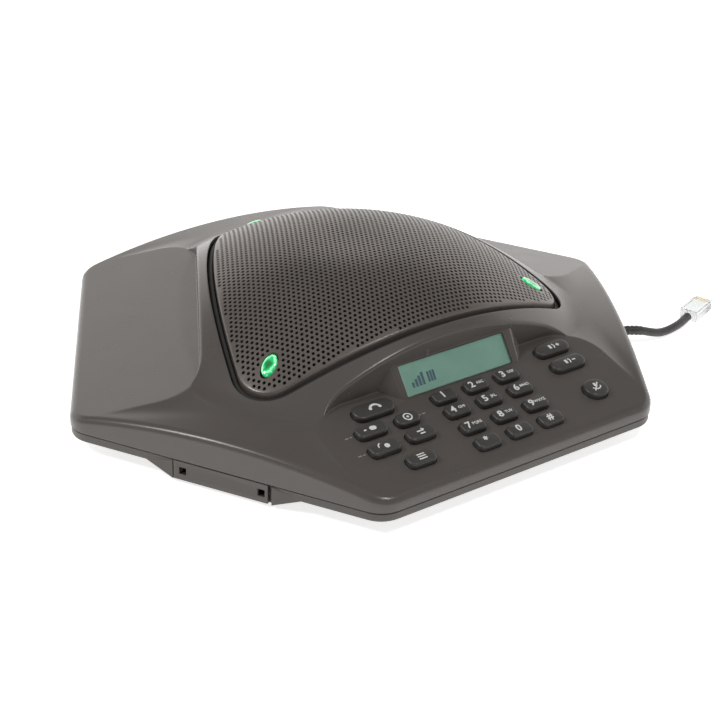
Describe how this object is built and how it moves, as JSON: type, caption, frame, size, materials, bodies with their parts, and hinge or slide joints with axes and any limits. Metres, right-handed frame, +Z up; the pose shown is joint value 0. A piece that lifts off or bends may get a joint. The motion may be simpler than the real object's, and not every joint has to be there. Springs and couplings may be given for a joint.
{
  "type": "conference speakerphone",
  "caption": "Hexagonal table-top conference phone with a domed speaker grille, three sunken lobes, a tilted display and sprung push keys on one lobe, and a short line cable.",
  "frame": {"origin": "middle of the front rubber foot's flat face, on the table top; the hexagonal pod's centre is 104 mm behind it at +Y", "axes": "+Z up from the table; -Y is the side of the keypad lobe; +X is to the right of someone facing the keypad"},
  "size_m": [0.3379, 0.26, 0.0656],
  "materials": {
    "cover": "fine-grained moulded ABS, satin warm grey",
    "case": "fine-grained moulded ABS, satin warm grey",
    "grille": "perforated steel sheet, satin grey paint",
    "key": "charcoal, low sheen, white legends",
    "rubber": "black, matt",
    "window": "clear, polished",
    "display": "reflective green liquid crystal",
    "lens": "translucent green light pipe",
    "board": "green solder mask",
    "silicone": "translucent grey, matt",
    "inner_plastic": "black, matt",
    "steel": "zinc plated",
    "magnet": "dark ferrite",
    "cone": "doped paper, matt",
    "jack": "black, moulded",
    "plug": "clear polycarbonate",
    "cable": "black vinyl, low sheen"
  },
  "bodies": {
    "pod": {"board_screw_left": "steel", "board_screw_right": "steel", "bottom_case": "case", "cable_plug": "plug", "case_screw_back": "steel", "case_screw_front": "steel", "case_screw_left": "steel", "display_window": "window", "foot_front": "rubber", "foot_left": "rubber", "foot_right": "rubber", "free_plug": "plug", "grille_seal": "rubber", "keypad_board": "board", "keypad_web": "silicone", "lcd_module": "display", "line_cable": "cable", "link_jack_back": "jack", "link_jack_right": "jack", "main_board": "board", "mic_boot_back": "rubber", "mic_boot_left": "rubber", "mic_boot_right": "rubber", "microphone_back": "steel", "microphone_left": "steel", "microphone_right": "steel", "port_cover": "case", "port_panel_back": "case", "port_panel_right": "case", "speaker_basket": "steel", "speaker_chamber": "inner_plastic", "speaker_cone": "cone", "speaker_gasket": "rubber", "speaker_grille": "grille", "speaker_magnet": "magnet", "status_lens_back": "lens", "status_lens_left": "lens", "status_lens_right": "lens", "top_cover": "cover"},
    "key_0": {"key_0": "key"},
    "key_1": {"key_1": "key"},
    "key_2": {"key_2": "key"},
    "key_3": {"key_3": "key"},
    "key_4": {"key_4": "key"},
    "key_5": {"key_5": "key"},
    "key_6": {"key_6": "key"},
    "key_7": {"key_7": "key"},
    "key_8": {"key_8": "key"},
    "key_9": {"key_9": "key"},
    "key_function_1": {"key_function_1": "key"},
    "key_function_2": {"key_function_2": "key"},
    "key_function_3": {"key_function_3": "key"},
    "key_function_4": {"key_function_4": "key"},
    "key_function_5": {"key_function_5": "key"},
    "key_hook": {"key_hook": "key"},
    "key_mute": {"key_mute": "key"},
    "key_pound": {"key_pound": "key"},
    "key_star": {"key_star": "key"},
    "key_volume_down": {"key_volume_down": "key"},
    "key_volume_up": {"key_volume_up": "key"}
  },
  "joints": [
    {"name": "key_0_press", "type": "slide", "parent": "pod", "child": "key_0", "axis": [0, 0.2215, -0.9751], "range_m": [0, 0.0012], "stiffness_N_per_m": 400, "springref_m": -0.001},
    {"name": "key_1_press", "type": "slide", "parent": "pod", "child": "key_1", "axis": [0, 0.2215, -0.9751], "range_m": [0, 0.0012], "stiffness_N_per_m": 400, "springref_m": -0.001},
    {"name": "key_2_press", "type": "slide", "parent": "pod", "child": "key_2", "axis": [0, 0.2215, -0.9751], "range_m": [0, 0.0012], "stiffness_N_per_m": 400, "springref_m": -0.001},
    {"name": "key_3_press", "type": "slide", "parent": "pod", "child": "key_3", "axis": [0, 0.2215, -0.9751], "range_m": [0, 0.0012], "stiffness_N_per_m": 400, "springref_m": -0.001},
    {"name": "key_4_press", "type": "slide", "parent": "pod", "child": "key_4", "axis": [0, 0.2215, -0.9751], "range_m": [0, 0.0012], "stiffness_N_per_m": 400, "springref_m": -0.001},
    {"name": "key_5_press", "type": "slide", "parent": "pod", "child": "key_5", "axis": [0, 0.2215, -0.9751], "range_m": [0, 0.0012], "stiffness_N_per_m": 400, "springref_m": -0.001},
    {"name": "key_6_press", "type": "slide", "parent": "pod", "child": "key_6", "axis": [0, 0.2215, -0.9751], "range_m": [0, 0.0012], "stiffness_N_per_m": 400, "springref_m": -0.001},
    {"name": "key_7_press", "type": "slide", "parent": "pod", "child": "key_7", "axis": [0, 0.2215, -0.9751], "range_m": [0, 0.0012], "stiffness_N_per_m": 400, "springref_m": -0.001},
    {"name": "key_8_press", "type": "slide", "parent": "pod", "child": "key_8", "axis": [0, 0.2215, -0.9751], "range_m": [0, 0.0012], "stiffness_N_per_m": 400, "springref_m": -0.001},
    {"name": "key_9_press", "type": "slide", "parent": "pod", "child": "key_9", "axis": [0, 0.2215, -0.9751], "range_m": [0, 0.0012], "stiffness_N_per_m": 400, "springref_m": -0.001},
    {"name": "key_function_1_press", "type": "slide", "parent": "pod", "child": "key_function_1", "axis": [0, 0.2215, -0.9751], "range_m": [0, 0.0012], "stiffness_N_per_m": 400, "springref_m": -0.001},
    {"name": "key_function_2_press", "type": "slide", "parent": "pod", "child": "key_function_2", "axis": [0, 0.2215, -0.9751], "range_m": [0, 0.0012], "stiffness_N_per_m": 400, "springref_m": -0.001},
    {"name": "key_function_3_press", "type": "slide", "parent": "pod", "child": "key_function_3", "axis": [0, 0.2215, -0.9751], "range_m": [0, 0.0012], "stiffness_N_per_m": 400, "springref_m": -0.001},
    {"name": "key_function_4_press", "type": "slide", "parent": "pod", "child": "key_function_4", "axis": [0, 0.2215, -0.9751], "range_m": [0, 0.0012], "stiffness_N_per_m": 400, "springref_m": -0.001},
    {"name": "key_function_5_press", "type": "slide", "parent": "pod", "child": "key_function_5", "axis": [0, 0.2215, -0.9751], "range_m": [0, 0.0012], "stiffness_N_per_m": 400, "springref_m": -0.001},
    {"name": "key_hook_press", "type": "slide", "parent": "pod", "child": "key_hook", "axis": [0, 0.2215, -0.9751], "range_m": [0, 0.0012], "stiffness_N_per_m": 400, "springref_m": -0.001},
    {"name": "key_mute_press", "type": "slide", "parent": "pod", "child": "key_mute", "axis": [0, 0.2215, -0.9751], "range_m": [0, 0.0012], "stiffness_N_per_m": 400, "springref_m": -0.001},
    {"name": "key_pound_press", "type": "slide", "parent": "pod", "child": "key_pound", "axis": [0, 0.2215, -0.9751], "range_m": [0, 0.0012], "stiffness_N_per_m": 400, "springref_m": -0.001},
    {"name": "key_star_press", "type": "slide", "parent": "pod", "child": "key_star", "axis": [0, 0.2215, -0.9751], "range_m": [0, 0.0012], "stiffness_N_per_m": 400, "springref_m": -0.001},
    {"name": "key_volume_down_press", "type": "slide", "parent": "pod", "child": "key_volume_down", "axis": [0, 0.2215, -0.9751], "range_m": [0, 0.0012], "stiffness_N_per_m": 400, "springref_m": -0.001},
    {"name": "key_volume_up_press", "type": "slide", "parent": "pod", "child": "key_volume_up", "axis": [0, 0.2215, -0.9751], "range_m": [0, 0.0012], "stiffness_N_per_m": 400, "springref_m": -0.001}
  ]
}
